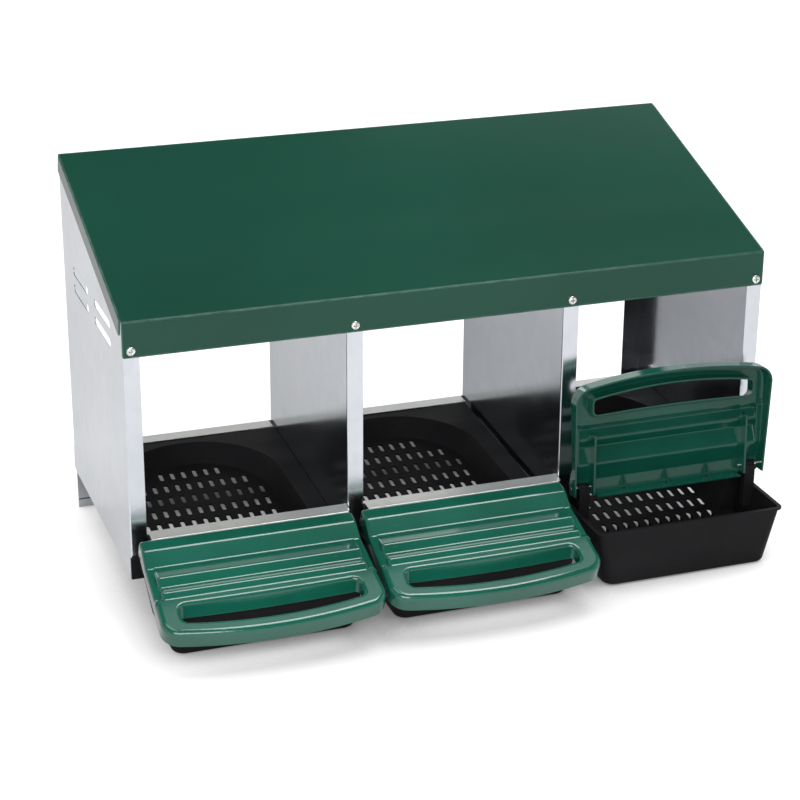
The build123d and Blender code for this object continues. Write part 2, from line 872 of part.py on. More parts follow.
def lid_at(centre, turn):
    """A lid on its hinge, turned down at the front by an angle."""
    with BuildPart() as placed:
        with Locations(Location((centre, hinge_y, hinge_height), (turn, 0, 0))):
            add(lid.part)
    return placed


def face_plane(depth, outward):
    """Upright plane across the case that looks forward or backward."""
    return Plane(origin=(0, depth, 0), x_dir=(-outward, 0, 0), z_dir=(0, outward, 0))


def screw_row(depth, outward, across, height):
    """Pan head screws with a cross recess, their heads on a face of the case."""
    plane = face_plane(depth, outward)
    spots = [(-outward * x, height) for x in across]
    with BuildPart() as row:
        with BuildSketch(plane):
            with Locations(*spots):
                Circle(head_diameter / 2)
        extrude(amount=head_height)
        fillet(row.faces().filter_by(Axis.Y).group_by(Axis.Y)[0 if outward < 0 else -1].edges(), radius=head_round)
        with BuildSketch(plane.offset(head_height)):
            with Locations(*spots):
                Rectangle(recess_span, recess_width)
                Rectangle(recess_width, recess_span)
        extrude(amount=-recess_depth, mode=Mode.SUBTRACT)
        with BuildSketch(plane):
            with Locations(*spots):
                Circle(screw_diameter / 2)
        extrude(amount=-screw_length)
    return row


def nut_row(depth, outward, across, height):
    """Hexagon nuts behind a flange."""
    with BuildPart() as row:
        with BuildSketch(face_plane(depth, outward)):
            with Locations(*[(-outward * x, height) for x in across]):
                RegularPolygon(nut_flats / 2, 6, major_radius=False)
                Circle(screw_hole, mode=Mode.SUBTRACT)
        extrude(amount=-nut_height)
    return row


finished = {
    "roof": roof,
    "left_side_panel": left_side_panel,
    "right_side_panel": right_side_panel,
    "left_divider": left_divider,
    "right_divider": right_divider,
    "left_front_sill": left_front_sill,
    "middle_front_sill": middle_front_sill,
    "right_front_sill": right_front_sill,
    "rear_rail": rear_rail,
    "left_nest_tray": tray_at(-tray_pitch),
    "middle_nest_tray": tray_at(0),
    "right_nest_tray": tray_at(tray_pitch),
    "left_egg_lid": lid_at(-tray_pitch, lid_closed_slope),
    "middle_egg_lid": lid_at(0, lid_closed_slope),
    "right_egg_lid": lid_at(tray_pitch, -90 - lid_open_lean),
    "left_hinge_pins": pins_at(-tray_pitch),
    "middle_hinge_pins": pins_at(0),
    "right_hinge_pins": pins_at(tray_pitch),
    "roof_front_screws": screw_row(case_front - sheet, -1, front_flange_centres, fascia_screw_height),
    "roof_front_nuts": nut_row(case_front + sheet, -1, front_flange_centres, fascia_screw_height),
    "roof_rear_screws": screw_row(case_rear + sheet, 1, rear_flange_centres, roof_rear_screw_height),
    "roof_rear_nuts": nut_row(case_rear - sheet, 1, rear_flange_centres, roof_rear_screw_height),
    "rear_rail_screws": screw_row(case_rear + sheet, 1, rear_flange_centres, rail_screw_height),
    "rear_rail_nuts": nut_row(case_rear - sheet, 1, rear_flange_centres, rail_screw_height),
}
for name, piece in finished.items():
    piece.part.label = name
    export_step(piece.part, "parts/" + name + ".step")
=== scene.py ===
"""Dresses a nesting box for hens and sets it in a plain studio.

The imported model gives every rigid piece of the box. This script gives each piece its finish,
and adds a pale floor, soft lamps and the camera. All lengths are in metres.
"""

import logging
import math
from dataclasses import dataclass, field
from enum import Enum
from typing import ClassVar

import bpy
from mathutils import Matrix, Vector

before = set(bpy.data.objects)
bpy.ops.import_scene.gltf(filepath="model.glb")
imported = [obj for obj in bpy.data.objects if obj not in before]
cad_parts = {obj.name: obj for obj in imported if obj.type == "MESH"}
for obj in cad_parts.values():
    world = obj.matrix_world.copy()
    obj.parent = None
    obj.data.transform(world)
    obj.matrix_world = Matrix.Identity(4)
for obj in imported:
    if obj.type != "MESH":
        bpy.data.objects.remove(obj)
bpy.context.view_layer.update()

logging.basicConfig(level=logging.INFO, format="%(message)s")
log = logging.getLogger("nesting_box")

Colour = tuple[float, float, float, float]
Point = tuple[float, float, float]
Span = tuple[float, float]
Feed = float | tuple[float, ...] | bpy.types.NodeSocket
Sockets = dict[str, bpy.types.NodeSocket]

WHITE: Colour = (1.0, 1.0, 1.0, 1.0)
RISING: Span = (0.0, 1.0)
FALLING: Span = (1.0, 0.0)


def tone(red: int, green: int, blue: int) -> Colour:
    """Turns a colour as seen on a screen into the shader's linear one.

    Args:
        red: Red, from 0 to 255.
        green: Green, from 0 to 255.
        blue: Blue, from 0 to 255.

    Returns:
        The linear colour with full alpha.
    """
    def linear(part: int) -> float:
        """One channel in linear light, by the curve that screens follow."""
        share = part / 255
        return share / 12.92 if share <= 0.04045 else ((share + 0.055) / 1.055) ** 2.4

    return (linear(red), linear(green), linear(blue), 1.0)


class Bay(Enum):
    """The three nests of the box, as seen from the front."""

    LEFT = "left"
    MIDDLE = "middle"
    RIGHT = "right"


class LidStand(Enum):
    """How a lid stands in store, as the way that its outer side looks."""

    SHUT = (0.0, -0.344, 0.939)
    OPEN = (0.0, 0.999, -0.044)


class Slot(Enum):
    """The finishes that the record names."""

    SHEET = "galvanised_sheet"
    PAINT = "green_paint"
    LID = "green_plastic"
    TRAY = "black_plastic"
    ZINC = "zinc_steel"


class Roll(Enum):
    """The way a sheet went through the rolling mill, as stretch factors of its streaks."""

    UPRIGHT = (1.0, 1.0, 0.03)
    ACROSS = (0.03, 1.0, 1.0)


@dataclass
class Wiring:
    """A node tree with short calls that place nodes and join their sockets."""

    MIX_SHARE: ClassVar[int] = 0
    MIX_FIRST: ClassVar[int] = 6
    MIX_SECOND: ClassVar[int] = 7
    MIX_RESULT: ClassVar[int] = 2
    GIVES_NUMBER: ClassVar[tuple[str, ...]] = ("DOT_PRODUCT", "DISTANCE", "LENGTH")

    tree: bpy.types.NodeTree

    def put(self, node: bpy.types.Node, inputs: dict[str | int, Feed]) -> bpy.types.Node:
        """Sets or joins a node's inputs.

        Args:
            node: The node to feed.
            inputs: A constant or an output socket for each input's name or number.

        Returns:
            The same node.
        """
        for key, value in inputs.items():
            if isinstance(value, bpy.types.NodeSocket):
                self.tree.links.new(value, node.inputs[key])
            else:
                node.inputs[key].default_value = value
        return node

    def place(
        self, kind: str, inputs: dict[str | int, Feed] | None = None, **settings: object
    ) -> bpy.types.Node:
        """Adds a node.

        Args:
            kind: The node's type, without the leading ShaderNode.
            inputs: What its inputs take.
            settings: Its other properties.

        Returns:
            The new node.
        """
        node = self.tree.nodes.new("ShaderNode" + kind)
        for name, value in settings.items():
            setattr(node, name, value)
        return self.put(node, inputs or {})

    def calc(self, operation: str, *values: Feed) -> bpy.types.NodeSocket:
        """Works out a number from numbers.

        Args:
            operation: What is done with them, such as MULTIPLY.
            values: The numbers or sockets that it takes.

        Returns:
            The result's socket.
        """
        return self.place("Math", dict(enumerate(values)), operation=operation).outputs[0]

    def calc_vector(self, operation: str, *values: Feed) -> bpy.types.NodeSocket:
        """Works out a vector, or a vector's length or product.

        Args:
            operation: What is done with the vectors, such as SUBTRACT.
            values: The vectors or sockets that it takes.

        Returns:
            The result's socket.
        """
        node = self.place("VectorMath", dict(enumerate(values)), operation=operation)
        return node.outputs["Value" if operation in self.GIVES_NUMBER else "Vector"]

    def weigh(self, *parts: tuple[Feed, float]) -> bpy.types.NodeSocket:
        """Adds numbers, each by its own share.

        Args:
            parts: Pairs of a number and its share.

        Returns:
            The total's socket.
        """
        total: Feed = 0.0
        for value, share in parts:
            total = self.calc("MULTIPLY_ADD", value, share, total)
        return total

    def remap(self, value: Feed, old: Span, new: Span) -> bpy.types.NodeSocket:
        """Maps one range of numbers onto another, without passing its ends.

        Args:
            value: The number.
            old: The range that it comes from.
            new: The range that it goes to.

        Returns:
            The mapped number's socket.
        """
        inputs = {"Value": value, "From Min": old[0], "From Max": old[1]}
        node = self.place("MapRange", inputs | {"To Min": new[0], "To Max": new[1]})
        return node.outputs["Result"]

    def blend(
        self, share: Feed, first: Feed, second: Feed, way: str = "MIX"
    ) -> bpy.types.NodeSocket:
        """Mixes two colours.

        Args:
            share: How much of the second colour shows.
            first: The first colour.
            second: The second colour.
            way: The blend mode.

        Returns:
            The mixed colour's socket.
        """
        node = self.place("Mix", data_type="RGBA", blend_type=way)
        inputs = {self.MIX_SHARE: share, self.MIX_FIRST: first, self.MIX_SECOND: second}
        return self.put(node, inputs).outputs[self.MIX_RESULT]

    def noise(self, place: Feed, scale: Feed, detail: float) -> bpy.types.Node:
        """Places a noise.

        Args:
            place: The place on the piece.
            scale: How many of its waves go on a metre.
            detail: How many finer waves it has.

        Returns:
            The noise node.
        """
        return self.place("TexNoise", {"Vector": place, "Scale": scale, "Detail": detail})

    def on_piece(self, stretch: Point = (1.0, 1.0, 1.0)) -> bpy.types.NodeSocket:
        """Gives places on the piece itself, so that patterns move with it.

        Args:
            stretch: Factors along X, Y and Z.

        Returns:
            The place's socket.
        """
        place = self.place("TexCoord").outputs["Object"]
        return self.place("Mapping", {"Vector": place, "Scale": stretch}).outputs["Vector"]


class Effect:
    """A shader node group that several finishes share, made once."""

    name: ClassVar[str] = ""
    takes: ClassVar[dict[str, float]] = {}
    gives: ClassVar[tuple[str, ...]] = ()

    @classmethod
    def group(cls) -> bpy.types.NodeTree:
        """Finds the group, or builds it the first time.

        Returns:
            The group's node tree.
        """
        found = bpy.data.node_groups.get(cls.name)
        if found is not None:
            return found
        tree = bpy.data.node_groups.new(cls.name, "ShaderNodeTree")
        kind = "NodeSocketFloat"
        for label, value in cls.takes.items():
            socket = tree.interface.new_socket(name=label, in_out="INPUT", socket_type=kind)
            socket.default_value = value
        for label in cls.gives:
            tree.interface.new_socket(name=label, in_out="OUTPUT", socket_type=kind)
        wires = Wiring(tree)
        start = tree.nodes.new("NodeGroupInput")
        end = tree.nodes.new("NodeGroupOutput")
        wires.put(end, cls.wire(wires, start))
        return tree

    @classmethod
    def wire(cls, wires: Wiring, start: bpy.types.Node) -> Sockets:
        """Lays the group's nodes.

        Args:
            wires: The group's tree.
            start: The node that holds the group's inputs.

        Returns:
            A socket for each of the group's outputs.
        """
        raise NotImplementedError

    @classmethod
    def use(cls, wires: Wiring, **values: float) -> bpy.types.Node:
        """Places the group in a material.

        Args:
            wires: The material's tree.
            values: The group's inputs, by their names in small letters.

        Returns:
            The group node.
        """
        node = wires.tree.nodes.new("ShaderNodeGroup")
        node.node_tree = cls.group()
        return wires.put(node, {label.capitalize(): value for label, value in values.items()})


class CloudyTone(Effect):
    """Slow changes of tone over a surface."""

    name = "cloudy_tone"
    takes = {"Scale": 6.0}
    gives = ("Mask",)
    detail: ClassVar[float] = 3.0
    band: ClassVar[Span] = (0.34, 0.66)

    @classmethod
    def wire(cls, wires: Wiring, start: bpy.types.Node) -> Sockets:
        """Lays broad noise.

        Args:
            wires: The group's tree.
            start: The node that holds the group's inputs.

        Returns:
            The mask's socket.
        """
        clouds = wires.noise(wires.on_piece(), start.outputs["Scale"], cls.detail)
        return {"Mask": wires.remap(clouds.outputs["Fac"], cls.band, RISING)}


class EdgeWearAndHighlightMask(Effect):
    """Edges and corners: rubbed wear, and painted highlights along bends."""

    name = "edge_wear_and_highlight_mask"
    takes = {"Radius": 0.002, "Gain": 2.0, "Scale": 60.0}
    gives = ("Mask",)
    samples: ClassVar[int] = 4
    detail: ClassVar[float] = 2.0
    patch_band: ClassVar[Span] = (0.3, 0.7)
    patch_share: ClassVar[Span] = (0.25, 1.0)

    @classmethod
    def wire(cls, wires: Wiring, start: bpy.types.Node) -> Sockets:
        """Compares rounded normals with true ones, and breaks the edge into patches.

        Args:
            wires: The group's tree.
            start: The node that holds the group's inputs.

        Returns:
            The mask's socket.
        """
        rounded = wires.place("Bevel", {"Radius": start.outputs["Radius"]}, samples=cls.samples)
        true = wires.place("NewGeometry").outputs["Normal"]
        match = wires.calc_vector("DOT_PRODUCT", rounded.outputs["Normal"], true)
        turn = wires.calc("SUBTRACT", 1.0, match)
        edge = wires.calc("MULTIPLY", turn, start.outputs["Gain"])
        spread = wires.noise(wires.on_piece(), start.outputs["Scale"], cls.detail)
        patches = wires.remap(spread.outputs["Fac"], cls.patch_band, cls.patch_share)
        return {"Mask": wires.remap(wires.calc("MULTIPLY", edge, patches), RISING, RISING)}


class FineGrain(Effect):
    """The fine grain that a mould or a paint gun leaves."""

    name = "fine_grain"
    takes = {"Scale": 900.0}
    gives = ("Height",)
    fine_detail: ClassVar[float] = 2.0
    ripple_detail: ClassVar[float] = 1.0
    ripple_scale: ClassVar[float] = 0.12
    ripple_share: ClassVar[float] = 0.6

    @classmethod
    def wire(cls, wires: Wiring, start: bpy.types.Node) -> Sockets:
        """Lays small noise over a broader ripple.

        Args:
            wires: The group's tree.
            start: The node that holds the group's inputs.

        Returns:
            The height's socket.
        """
        place = wires.on_piece()
        fine = wires.noise(place, start.outputs["Scale"], cls.fine_detail).outputs["Fac"]
        slow = wires.calc("MULTIPLY", start.outputs["Scale"], cls.ripple_scale)
        ripple = wires.noise(place, slow, cls.ripple_detail).outputs["Fac"]
        return {"Height": wires.calc("MULTIPLY_ADD", ripple, cls.ripple_share, fine)}


class ZincSpangle(Effect):
    """The frosted crystals of a zinc coat."""

    name = "zinc_spangle"
    takes = {"Scale": 90.0}
    gives = ("Tone", "Height")
    bend_scale: ClassVar[float] = 55.0
    bend_detail: ClassVar[float] = 1.0
    bend_reach: ClassVar[Point] = (0.012, 0.012, 0.012)

    @classmethod
    def wire(cls, wires: Wiring, start: bpy.types.Node) -> Sockets:
        """Lays bent cells, each with its own tone.

        Args:
            wires: The group's tree.
            start: The node that holds the group's inputs.

        Returns:
            The sockets of the crystals' tone and height.
        """
        place = wires.on_piece()
        bend = wires.noise(place, cls.bend_scale, cls.bend_detail).outputs["Color"]
        bent = wires.calc_vector("MULTIPLY_ADD", bend, cls.bend_reach, place)
        cells = wires.place("TexVoronoi", {"Vector": bent, "Scale": start.outputs["Scale"]})
        grey = wires.place("RGBToBW", {"Color": cells.outputs["Color"]})
        return {"Tone": grey.outputs["Val"], "Height": cells.outputs["Distance"]}


class Marks(Effect):
    """Thin scuffs and wiped smears from handling."""

    name = "handling_marks"
    takes = {"Scale": 14.0, "Length": 0.08}
    gives = ("Scuff", "Smear")
    turn: ClassVar[Point] = (0.35, 0.5, 0.6)
    scuff_scale: ClassVar[float] = 22.0
    scuff_detail: ClassVar[float] = 1.0
    scuff_band: ClassVar[Span] = (0.70, 0.78)
    smear_detail: ClassVar[float] = 4.0
    smear_band: ClassVar[Span] = (0.4, 0.68)

    @classmethod
    def wire(cls, wires: Wiring, start: bpy.types.Node) -> Sockets:
        """Lays fine and broad noise, stretched along one slanting way.

        Args:
            wires: The group's tree.
            start: The node that holds the group's inputs.

        Returns:
            The sockets of the scuffs and the smears.
        """
        place = wires.place("TexCoord").outputs["Object"]
        stretch = wires.place("CombineXYZ", {"X": start.outputs["Length"], "Y": 1.0, "Z": 1.0})
        slant = {"Vector": place, "Rotation": cls.turn, "Scale": stretch.outputs["Vector"]}
        along = wires.place("Mapping", slant).outputs["Vector"]
        thin = wires.calc("MULTIPLY", start.outputs["Scale"], cls.scuff_scale)
        scuff = wires.noise(along, thin, cls.scuff_detail).outputs["Fac"]
        smear = wires.noise(along, start.outputs["Scale"], cls.smear_detail).outputs["Fac"]
        return {
            "Scuff": wires.remap(scuff, cls.scuff_band, RISING),
            "Smear": wires.remap(smear, cls.smear_band, RISING),
        }


class Crevice(Effect):
    """Corners and folds that are shut in."""

    name = "crevice"
    takes = {"Distance": 0.02}
    gives = ("Mask",)
    samples: ClassVar[int] = 4
    band: ClassVar[Span] = (0.15, 0.75)

    @classmethod
    def wire(cls, wires: Wiring, start: bpy.types.Node) -> Sockets:
        """Measures how shut in a place is.

        Args:
            wires: The group's tree.
            start: The node that holds the group's inputs.

        Returns:
            The mask's socket.
        """
        reach = {"Distance": start.outputs["Distance"]}
        shade = wires.place("AmbientOcclusion", reach, samples=cls.samples)
        return {"Mask": wires.remap(shade.outputs["AO"], cls.band, FALLING)}


@dataclass(frozen=True)
class EdgeWearAndHighlight:
    """Wear and painted highlight along edges: its reach, gain, patch spacing and share."""

    radius: float
    gain: float
    scale: float
    share: float

    def mask(self, wires: Wiring) -> bpy.types.NodeSocket:
        """Places the wear and painted highlight in a material.

        Args:
            wires: The material's tree.

        Returns:
            The mask's socket.
        """
        edge = EdgeWearAndHighlightMask.use(wires, radius=self.radius, gain=self.gain, scale=self.scale)
        return wires.calc("MULTIPLY", edge.outputs["Mask"], self.share)


@dataclass(frozen=True)
class Relief:
    """A fine height's depth and strength, and the radius that light sees on edges."""

    depth: float
    strength: float
    bend: float
    samples: int = 4

    def normal(self, wires: Wiring, height: Feed) -> bpy.types.NodeSocket:
        """Turns a height into a normal.

        Args:
            wires: The material's tree.
            height: The height's socket.

        Returns:
            The normal's socket.
        """
        rounded = wires.place("Bevel", {"Radius": self.bend}, samples=self.samples)
        inputs = {"Height": height, "Distance": self.depth, "Strength": self.strength}
        bump = wires.place("Bump", inputs | {"Normal": rounded.outputs["Normal"]})
        return bump.outputs["Normal"]


@dataclass(frozen=True)
class Finish:
    """What all finishes of the box have in common."""

    label: str
    slot: Slot

    def material(self) -> bpy.types.Material:
        """Makes the finish, or finds the one made before.

        Returns:
            The finished material.
        """
        found = bpy.data.materials.get(self.label)
        if found is not None:
            return found
        made = bpy.data.materials.new(self.label)
        made.use_nodes = True
        made.node_tree.nodes.clear()
        wires = Wiring(made.node_tree)
        shader = wires.place("BsdfPrincipled")
        self.wire(wires, shader)
        wires.place("OutputMaterial", {"Surface": shader.outputs["BSDF"]})
        return made

    def wire(self, wires: Wiring, shader: bpy.types.Node) -> None:
        """Feeds the shader.

        Args:
            wires: The material's tree.
            shader: Its Principled BSDF.
        """
        raise NotImplementedError


@dataclass(frozen=True)
class SheetFinish(Finish):
    """Smooth galvanised sheet with a soft mirror shine."""

    light: Colour = tone(212, 215, 220)
    dark: Colour = tone(198, 202, 208)
    edge: Colour = tone(236, 238, 240)
    rough: Span = (0.11, 0.22)
    roll: Roll = Roll.UPRIGHT
    spangle_scale: float = 70.0
    spangle_share: float = 0.45
    spangle_height: float = 0.35
    cloud_scale: float = 4.0
    cloud_share: float = 0.55
    mark_scale: float = 9.0
    mark_length: float = 0.12
    streak_scale: float = 420.0
    streak_detail: float = 2.0
    streak_height: float = 0.5
    streak_rough: float = 0.5
    tone_rough: float = 0.35
    smear_rough: float = 0.3
    rough_band: Span = (0.1, 0.9)
    wear_and_highlight: EdgeWearAndHighlight = EdgeWearAndHighlight(radius=0.0012, gain=1.6, scale=60.0, share=1.0)
    relief: Relief = Relief(depth=0.00006, strength=0.5, bend=0.0004)

    def wire(self, wires: Wiring, shader: bpy.types.Node) -> None:
        """Feeds the shader.

        Args:
            wires: The material's tree.
            shader: Its Principled BSDF.
        """
        spangle = ZincSpangle.use(wires, scale=self.spangle_scale)
        clouds = CloudyTone.use(wires, scale=self.cloud_scale).outputs["Mask"]
        smear = Marks.use(wires, scale=self.mark_scale, length=self.mark_length).outputs["Smear"]
        along = wires.on_piece(self.roll.value)
        streaks = wires.noise(along, self.streak_scale, self.streak_detail).outputs["Fac"]
        mix = wires.weigh(
            (spangle.outputs["Tone"], self.spangle_share), (clouds, self.cloud_share)
        )
        rough = wires.weigh(
            (streaks, self.streak_rough), (mix, self.tone_rough), (smear, self.smear_rough)
        )
        height = wires.weigh(
            (spangle.outputs["Height"], self.spangle_height), (streaks, self.streak_height)
        )
        plain = wires.blend(mix, self.light, self.dark)
        wires.put(
            shader,
            {
                "Base Color": wires.blend(self.wear_and_highlight.mask(wires), plain, self.edge),
                "Metallic": 1.0,
                "Roughness": wires.remap(rough, self.rough_band, self.rough),
                "Normal": self.relief.normal(wires, height),
            },
        )


@dataclass(frozen=True)
class PaintFinish(Finish):
    """Dark green satin paint on sheet, with a painted highlight along its bends."""

    light: Colour = tone(22, 74, 59)
    dark: Colour = tone(17, 67, 53)
    # painted highlight: the pale mint that the bends are blended to
    edge: Colour = tone(150, 196, 180)
    rough: Span = (0.15, 0.21)
    shine: float = 0.3
    cloud_scale: float = 3.0
    cloud_rough: float = 0.4
    mark_scale: float = 7.0
    mark_length: float = 0.2
    smear_rough: float = 0.6
    grain: float = 650.0
    # the edge mask draws the painted highlight on the roof's folds
    wear_and_highlight: EdgeWearAndHighlight = EdgeWearAndHighlight(radius=0.0035, gain=3.2, scale=45.0, share=0.9)
    relief: Relief = Relief(depth=0.00004, strength=0.4, bend=0.0036)

    def wire(self, wires: Wiring, shader: bpy.types.Node) -> None:
        """Feeds the shader.

        Args:
            wires: The material's tree.
            shader: Its Principled BSDF.
        """
        clouds = CloudyTone.use(wires, scale=self.cloud_scale).outputs["Mask"]
        smear = Marks.use(wires, scale=self.mark_scale, length=self.mark_length).outputs["Smear"]
        grain = FineGrain.use(wires, scale=self.grain).outputs["Height"]
        plain = wires.blend(clouds, self.light, self.dark)
        rough = wires.weigh((smear, self.smear_rough), (clouds, self.cloud_rough))
        wires.put(
            shader,
            {
                "Base Color": wires.blend(self.wear_and_highlight.mask(wires), plain, self.edge),
                "Roughness": wires.remap(rough, RISING, self.rough),
                "Specular IOR Level": self.shine,
                "Normal": self.relief.normal(wires, grain),
            },
        )


@dataclass(frozen=True)
class MouldFinish(Finish):
    """Black plastic with its mould's grain, rubbed edges, smears and painted shade in corners."""

    light: Colour = tone(29, 29, 31)
    dark: Colour = tone(22, 22, 24)
    edge: Colour = tone(74, 74, 78)
    # painted shade: the colour that the tray's corners and hollows are darkened to
    corner_shade_and_dust: Colour = tone(10, 10, 11)
    corner_share: float = 0.6
    corner_reach: float = 0.06
    rough: Span = (0.48, 0.62)
    shine: float = 0.1
    cloud_scale: float = 9.0
    cloud_rough: float = 0.3
    mark_scale: float = 16.0
    mark_length: float = 0.25
    scuff_share: float = 0.1
    smear_rough: float = 0.7
    grain: float = 700.0
    wear_and_highlight: EdgeWearAndHighlight = EdgeWearAndHighlight(radius=0.0014, gain=1.4, scale=70.0, share=0.3)
    relief: Relief = Relief(depth=0.00005, strength=0.6, bend=0.0008)

    def colour(
        self, wires: Wiring, clouds: bpy.types.NodeSocket, scuff: bpy.types.NodeSocket
    ) -> bpy.types.NodeSocket:
        """Mixes the plastic's colour, with painted shade in the tray's corners and dust in the
        lid's.

        Args:
            wires: The material's tree.
            clouds: The mask of its slow changes of tone.
            scuff: The mask of its scuffs.

        Returns:
            The colour's socket.
        """
        # occlusion mask for the corner colour: painted shade on the tray, dust on the lid
        corners = Crevice.use(wires, distance=self.corner_reach).outputs["Mask"]
        plain = wires.blend(clouds, self.light, self.dark)
        depth = wires.calc("MULTIPLY", corners, self.corner_share)
        shaded = wires.blend(depth, plain, self.corner_shade_and_dust)
        scuffed = wires.blend(wires.calc("MULTIPLY", scuff, self.scuff_share), shaded, self.edge)
        return wires.blend(self.wear_and_highlight.mask(wires), scuffed, self.edge)

    def wire(self, wires: Wiring, shader: bpy.types.Node) -> None:
        """Feeds the shader.

        Args:
            wires: The material's tree.
            shader: Its Principled BSDF.
        """
        clouds = CloudyTone.use(wires, scale=self.cloud_scale).outputs["Mask"]
        marks = Marks.use(wires, scale=self.mark_scale, length=self.mark_length)
        grain = FineGrain.use(wires, scale=self.grain).outputs["Height"]
        rough = wires.weigh(
            (marks.outputs["Smear"], self.smear_rough), (clouds, self.cloud_rough)
        )
        wires.put(
            shader,
            {
                "Base Color": self.colour(wires, clouds, marks.outputs["Scuff"]),
                "Roughness": wires.remap(rough, RISING, self.rough),
                "Specular IOR Level": self.shine,
                "Normal": self.relief.normal(wires, grain),
            },
        )


@dataclass(frozen=True)
class LidFinish(MouldFinish):
    """Green plastic, polished on the lid's outer side, plain with painted shade on its inner
    side.
    """

    light: Colour = tone(23, 98, 81)
    dark: Colour = tone(17, 86, 69)
    # edge colour: wear on the lid's edges and a painted highlight along its ribs and folds
    edge: Colour = tone(84, 146, 126)
    corner_shade_and_dust: Colour = tone(36, 98, 81)
    corner_share: float = 0.15
    corner_reach: float = 0.012
    rough: Span = (0.1, 0.16)
    shine: float = 0.35
    grain: float = 420.0
    wear_and_highlight: EdgeWearAndHighlight = EdgeWearAndHighlight(radius=0.0014, gain=1.4, scale=70.0, share=0.35)
    relief: Relief = Relief(depth=0.00003, strength=0.6, bend=0.0008)
    stand: LidStand = LidStand.SHUT
    side_band: Span = (-0.3, 0.1)
    # painted shade: the factor that darkens the lid's inner side
    inner_painted_shade: Colour = (0.6, 0.6, 0.6, 1.0)
    polish: float = 0.6
    polish_rough: float = 0.1

    def outer_side(self, wires: Wiring) -> bpy.types.NodeSocket:
        """Tells the lid's outer side from its inner side.

        Args:
            wires: The material's tree.

        Returns:
            A socket that is 1 on the outer side.
        """
        way = wires.place("TexCoord").outputs["Normal"]
        match = wires.calc_vector("DOT_PRODUCT", way, self.stand.value)
        return wires.remap(match, self.side_band, RISING)

    def colour(
        self, wires: Wiring, clouds: bpy.types.NodeSocket, scuff: bpy.types.NodeSocket
    ) -> bpy.types.NodeSocket:
        """Mixes the plastic's colour, with painted shade on the inner side.

        Args:
            wires: The material's tree.
            clouds: The mask of its slow changes of tone.
            scuff: The mask of its scuffs.

        Returns:
            The colour's socket.
        """
        outer = super().colour(wires, clouds, scuff)
        inner = wires.blend(1.0, outer, self.inner_painted_shade, "MULTIPLY")
        return wires.blend(self.outer_side(wires), inner, outer)

    def wire(self, wires: Wiring, shader: bpy.types.Node) -> None:
        """Feeds the shader, and polishes the outer side.

        Args:
            wires: The material's tree.
            shader: Its Principled BSDF.
        """
        super().wire(wires, shader)
        gloss = wires.calc("MULTIPLY", self.outer_side(wires), self.polish)
        wires.put(shader, {"Coat Weight": gloss, "Coat Roughness": self.polish_rough})


@dataclass(frozen=True)
class ZincFinish(Finish):
    """Bright zinc plating on small steel pieces, with painted shade in its corners."""

    light: Colour = tone(234, 234, 231)
    dark: Colour = tone(204, 204, 199)
    # painted shade: the colour that corners and recesses are darkened to
    corner_shade_and_dust: Colour = tone(70, 70, 68)
    corner_share: float = 0.6
    corner_reach: float = 0.003
    rough: Span = (0.18, 0.32)
    cloud_scale: float = 160.0
    grain: float = 1500.0
    relief: Relief = Relief(depth=0.00002, strength=0.5, bend=0.0003)

    def wire(self, wires: Wiring, shader: bpy.types.Node) -> None:
        """Feeds the shader.

        Args:
            wires: The material's tree.
            shader: Its Principled BSDF.
        """
        clouds = CloudyTone.use(wires, scale=self.cloud_scale).outputs["Mask"]
        corners = Crevice.use(wires, distance=self.corner_reach).outputs["Mask"]
        grain = FineGrain.use(wires, scale=self.grain).outputs["Height"]
        plain = wires.blend(clouds, self.light, self.dark)
        depth = wires.calc("MULTIPLY", corners, self.corner_share)
        wires.put(
            shader,
            {
                "Base Color": wires.blend(depth, plain, self.corner_shade_and_dust),
                "Metallic": 1.0,
                "Roughness": wires.remap(clouds, RISING, self.rough),
                "Normal": self.relief.normal(wires, grain),
            },
        )


UPRIGHT_SHEET = SheetFinish("upright_sheet", Slot.SHEET)
FOLDED_SHEET = SheetFinish(
    "folded_sheet",
    Slot.SHEET,
    light=tone(212, 214, 210),
    dark=tone(194, 197, 193),
    rough=(0.26, 0.4),
    roll=Roll.ACROSS,
)
ROOF_PAINT = PaintFinish("roof_paint", Slot.PAINT)
LID_PLASTICS = {
    LidStand.SHUT: LidFinish("shut_lid_plastic", Slot.LID),
    LidStand.OPEN: LidFinish("open_lid_plastic", Slot.LID, stand=LidStand.OPEN),
}
TRAY_PLASTIC = MouldFinish("tray_plastic", Slot.TRAY)
ZINC_PLATE = ZincFinish("zinc_plate", Slot.ZINC)


@dataclass
class SubAssembly:
    """Pieces of the box that belong together."""

    def finishes(self) -> dict[str, Finish]:
        """Names the finish of each piece.

        Returns:
            A finish for each node's name.
        """
        raise NotImplementedError

    def dress(self) -> None:
        """Gives every piece its finish and reports it."""
        for name, finish in self.finishes().items():
            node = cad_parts[name]
            node.data.materials.clear()
            node.data.materials.append(finish.material())
            for face in node.data.polygons:
                face.material_index = 0
            log.info("dressed %s in %s", name, finish.label)


@dataclass
class SheetCase(SubAssembly):
    """The folded sheets of the case: walls that stand and strips that run across."""

    walls: tuple[str, ...] = (
        "left_side_panel", "right_side_panel", "left_divider", "right_divider"
    )
    rail: str = "rear_rail"
    wall_finish: Finish = UPRIGHT_SHEET
    strip_finish: Finish = FOLDED_SHEET

    def finishes(self) -> dict[str, Finish]:
        """Names the finish of each sheet.

        Returns:
            A finish for each node's name.
        """
        strips = [bay.value + "_front_sill" for bay in Bay] + [self.rail]
        upright = dict.fromkeys(self.walls, self.wall_finish)
        return upright | dict.fromkeys(strips, self.strip_finish)


